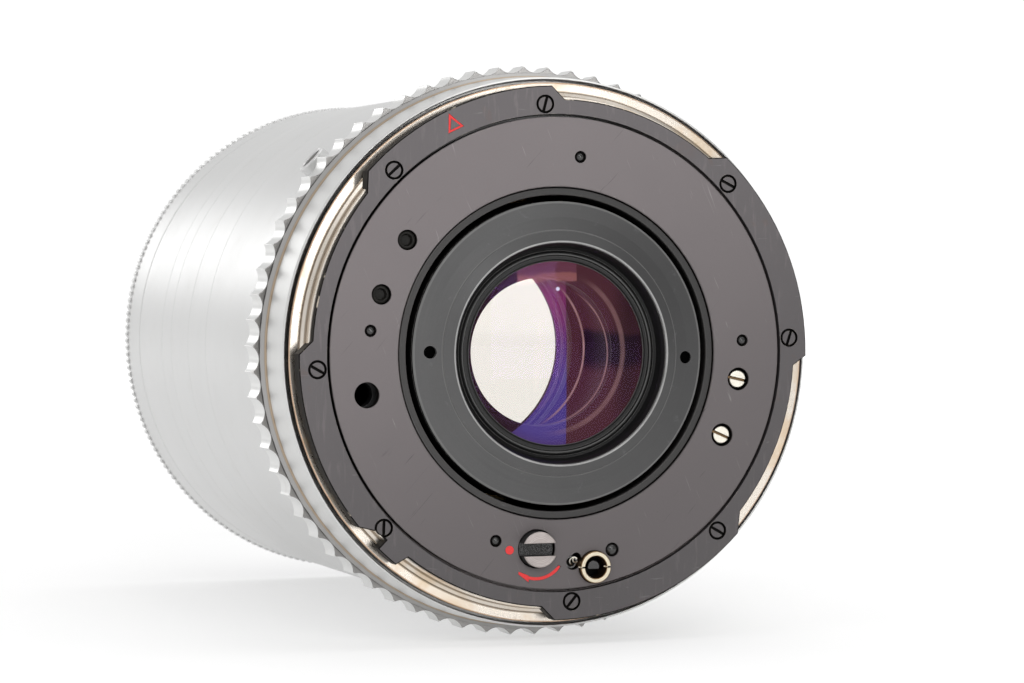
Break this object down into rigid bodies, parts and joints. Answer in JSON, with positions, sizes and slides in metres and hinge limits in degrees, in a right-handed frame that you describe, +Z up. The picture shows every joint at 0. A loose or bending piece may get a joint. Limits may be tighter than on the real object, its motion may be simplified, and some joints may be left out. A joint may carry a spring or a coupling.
{
  "type": "prime camera lens",
  "caption": "Prime lens for a medium-format camera: bayonet mount with drive shaft, scalloped focusing ring, leaf shutter, iris, setting rings and coated glass in a satin metal barrel.",
  "frame": {"origin": "centre of the rear face of the bayonet ring and cover plate, on the optical axis", "axes": "+Y along the optical axis towards the front, +Z up as the lens lies on its side, +X to the right when it is seen from the rear"},
  "size_m": [0.078, 0.1071, 0.078],
  "materials": {
    "black_anodised": "satin black, worn bright on edges",
    "grey_plate": "matte warm dark grey",
    "dark_steel": "dark oiled",
    "nickel_brass": "worn plating over brass",
    "satin_chrome": "satin",
    "bare_brass": "machined",
    "bright_steel": "polished",
    "spring_steel": "drawn wire",
    "blackened_metal": "matte black",
    "machined_aluminium": "turned",
    "black_insulator": "moulded",
    "coated_glass": "coated, purple reflection",
    "blade_steel": "blued thin steel"
  },
  "bodies": {
    "mount": {"bayonet_ring": "black_anodised", "bayonet_screws": "black_anodised", "rear_cover_plate": "grey_plate", "cover_plate_pins": "dark_steel", "mechanism_plate": "machined_aluminium", "cover_screws": "black_anodised", "adjusting_screws": "bright_steel", "mount_base_ring": "nickel_brass", "rear_sleeve": "satin_chrome", "thrust_washer": "bare_brass", "release_bush": "bright_steel", "release_spring": "spring_steel", "light_shield": "blackened_metal", "guide_tube": "machined_aluminium"},
    "focus_ring": {"focus_ring": "satin_chrome", "focus_helicoid": "bare_brass"},
    "optical_unit": {"main_tube": "machined_aluminium", "focus_keys": "bare_brass", "barrel_shell": "satin_chrome", "sync_socket_shell": "bright_steel", "sync_socket_core": "black_insulator", "rear_lens_tube": "blackened_metal", "rear_retaining_ring": "blackened_metal", "rear_baffle": "blackened_metal", "rear_element": "coated_glass", "rear_inner_element": "coated_glass", "shutter_housing": "machined_aluminium", "diaphragm_plate": "blackened_metal", "shutter_cover": "blackened_metal", "mainspring": "spring_steel", "front_shell": "satin_chrome", "front_tube": "satin_chrome", "filter_ring": "satin_chrome", "front_cell": "blackened_metal", "second_element": "coated_glass", "third_element": "coated_glass", "front_element": "coated_glass", "front_retaining_ring": "blackened_metal", "front_trim_ring": "blackened_metal"},
    "cocking_shaft": {"cocking_shaft": "bright_steel"},
    "release_pin": {"release_pin": "dark_steel"},
    "interlock_pin": {"interlock_pin": "dark_steel"},
    "drive_sleeve": {"drive_sleeve": "bright_steel"},
    "cocking_ring": {"cocking_ring": "bare_brass"},
    "sync_lever": {"sync_lever": "bright_steel"},
    "aperture_ring": {"aperture_ring": "satin_chrome", "aperture_cam_ring": "blackened_metal"},
    "speed_ring": {"speed_ring": "satin_chrome", "speed_cam_ring": "blackened_metal"},
    "shutter_drive_ring": {"shutter_drive_ring": "bare_brass"},
    "shutter_blade_1": {"shutter_blade_1": "blade_steel"},
    "aperture_blade_1": {"aperture_blade_1": "blade_steel"},
    "shutter_blade_2": {"shutter_blade_2": "blade_steel"},
    "aperture_blade_2": {"aperture_blade_2": "blade_steel"},
    "shutter_blade_3": {"shutter_blade_3": "blade_steel"},
    "aperture_blade_3": {"aperture_blade_3": "blade_steel"},
    "shutter_blade_4": {"shutter_blade_4": "blade_steel"},
    "aperture_blade_4": {"aperture_blade_4": "blade_steel"},
    "shutter_blade_5": {"shutter_blade_5": "blade_steel"},
    "aperture_blade_5": {"aperture_blade_5": "blade_steel"}
  },
  "joints": [
    {"name": "focus_turn", "type": "hinge", "parent": "mount", "child": "focus_ring", "pos_m": [0, 0.0155, 0], "axis": [0, -1, 0], "range_deg": [0, 300]},
    {"name": "focus_extend", "type": "slide", "parent": "mount", "child": "optical_unit", "axis": [0, 1, 0], "range_m": [0, 0.018]},
    {"name": "aperture_turn", "type": "hinge", "parent": "optical_unit", "child": "aperture_ring", "pos_m": [0, 0.056, 0], "axis": [0, -1, 0], "range_deg": [0, 48]},
    {"name": "speed_turn", "type": "hinge", "parent": "optical_unit", "child": "speed_ring", "pos_m": [0, 0.0677, 0], "axis": [0, -1, 0], "range_deg": [0, 100]},
    {"name": "shutter_drive", "type": "hinge", "parent": "optical_unit", "child": "shutter_drive_ring", "pos_m": [0, 0.0529, 0], "axis": [0, -1, 0], "range_deg": [0, 16]},
    {"name": "cocking_turn", "type": "hinge", "parent": "mount", "child": "cocking_shaft", "pos_m": [-0.0032, 0.0045, -0.02605], "axis": [0, -1, 0], "range_deg": [0, 270]},
    {"name": "drive_sleeve_turn", "type": "hinge", "parent": "optical_unit", "child": "drive_sleeve", "pos_m": [-0.0032, 0.049, -0.02605], "axis": [0, -1, 0], "range_deg": [0, 270]},
    {"name": "cocking_ring_turn", "type": "hinge", "parent": "optical_unit", "child": "cocking_ring", "pos_m": [0, 0.0474, 0], "axis": [0, -1, 0], "range_deg": [-23.6, 0]},
    {"name": "release_press", "type": "slide", "parent": "mount", "child": "release_pin", "axis": [0, 1, 0], "range_m": [0, 0.002]},
    {"name": "interlock_press", "type": "slide", "parent": "mount", "child": "interlock_pin", "axis": [0, 1, 0], "range_m": [0, 0.0012]},
    {"name": "sync_lever_swing", "type": "hinge", "parent": "optical_unit", "child": "sync_lever", "pos_m": [0.03014, 0.032, -0.02111], "axis": [0.8192, 0, -0.5736], "range_deg": [-25, 25]},
    {"name": "shutter_blade_1_swing", "type": "hinge", "parent": "optical_unit", "child": "shutter_blade_1", "pos_m": [0.0312, 0.0505, 0], "axis": [0, -1, 0], "range_deg": [0, 36.05]},
    {"name": "shutter_blade_2_swing", "type": "hinge", "parent": "optical_unit", "child": "shutter_blade_2", "pos_m": [0.00964, 0.0505, 0.02967], "axis": [0, -1, 0], "range_deg": [0, 36.05]},
    {"name": "shutter_blade_3_swing", "type": "hinge", "parent": "optical_unit", "child": "shutter_blade_3", "pos_m": [-0.02524, 0.0505, 0.01834], "axis": [0, -1, 0], "range_deg": [0, 36.05]},
    {"name": "shutter_blade_4_swing", "type": "hinge", "parent": "optical_unit", "child": "shutter_blade_4", "pos_m": [-0.02524, 0.0505, -0.01834], "axis": [0, -1, 0], "range_deg": [0, 36.05]},
    {"name": "shutter_blade_5_swing", "type": "hinge", "parent": "optical_unit", "child": "shutter_blade_5", "pos_m": [0.00964, 0.0505, -0.02967], "axis": [0, -1, 0], "range_deg": [0, 36.05]},
    {"name": "aperture_blade_1_swing", "type": "hinge", "parent": "optical_unit", "child": "aperture_blade_1", "pos_m": [0.0312, 0.0541, 0], "axis": [0, -1, 0], "range_deg": [0, 27.35]},
    {"name": "aperture_blade_2_swing", "type": "hinge", "parent": "optical_unit", "child": "aperture_blade_2", "pos_m": [0.00964, 0.0541, 0.02967], "axis": [0, -1, 0], "range_deg": [0, 27.35]},
    {"name": "aperture_blade_3_swing", "type": "hinge", "parent": "optical_unit", "child": "aperture_blade_3", "pos_m": [-0.02524, 0.0541, 0.01834], "axis": [0, -1, 0], "range_deg": [0, 27.35]},
    {"name": "aperture_blade_4_swing", "type": "hinge", "parent": "optical_unit", "child": "aperture_blade_4", "pos_m": [-0.02524, 0.0541, -0.01834], "axis": [0, -1, 0], "range_deg": [0, 27.35]},
    {"name": "aperture_blade_5_swing", "type": "hinge", "parent": "optical_unit", "child": "aperture_blade_5", "pos_m": [0.00964, 0.0541, -0.02967], "axis": [0, -1, 0], "range_deg": [0, 27.35]}
  ],
  "couplings": [
    {"joint": "focus_turn", "follows": "focus_extend", "rad_per_m": 290.89},
    {"joint": "drive_sleeve_turn", "follows": "cocking_turn", "ratio": 1},
    {"joint": "cocking_ring_turn", "follows": "cocking_turn", "ratio": -0.086957},
    {"joint": "shutter_blade_1_swing", "follows": "shutter_drive", "ratio": 2.25},
    {"joint": "shutter_blade_2_swing", "follows": "shutter_drive", "ratio": 2.25},
    {"joint": "shutter_blade_3_swing", "follows": "shutter_drive", "ratio": 2.25},
    {"joint": "shutter_blade_4_swing", "follows": "shutter_drive", "ratio": 2.25},
    {"joint": "shutter_blade_5_swing", "follows": "shutter_drive", "ratio": 2.25},
    {"joint": "aperture_blade_1_swing", "follows": "aperture_turn", "ratio": 0.56875},
    {"joint": "aperture_blade_2_swing", "follows": "aperture_turn", "ratio": 0.56875},
    {"joint": "aperture_blade_3_swing", "follows": "aperture_turn", "ratio": 0.56875},
    {"joint": "aperture_blade_4_swing", "follows": "aperture_turn", "ratio": 0.56875},
    {"joint": "aperture_blade_5_swing", "follows": "aperture_turn", "ratio": 0.56875}
  ]
}
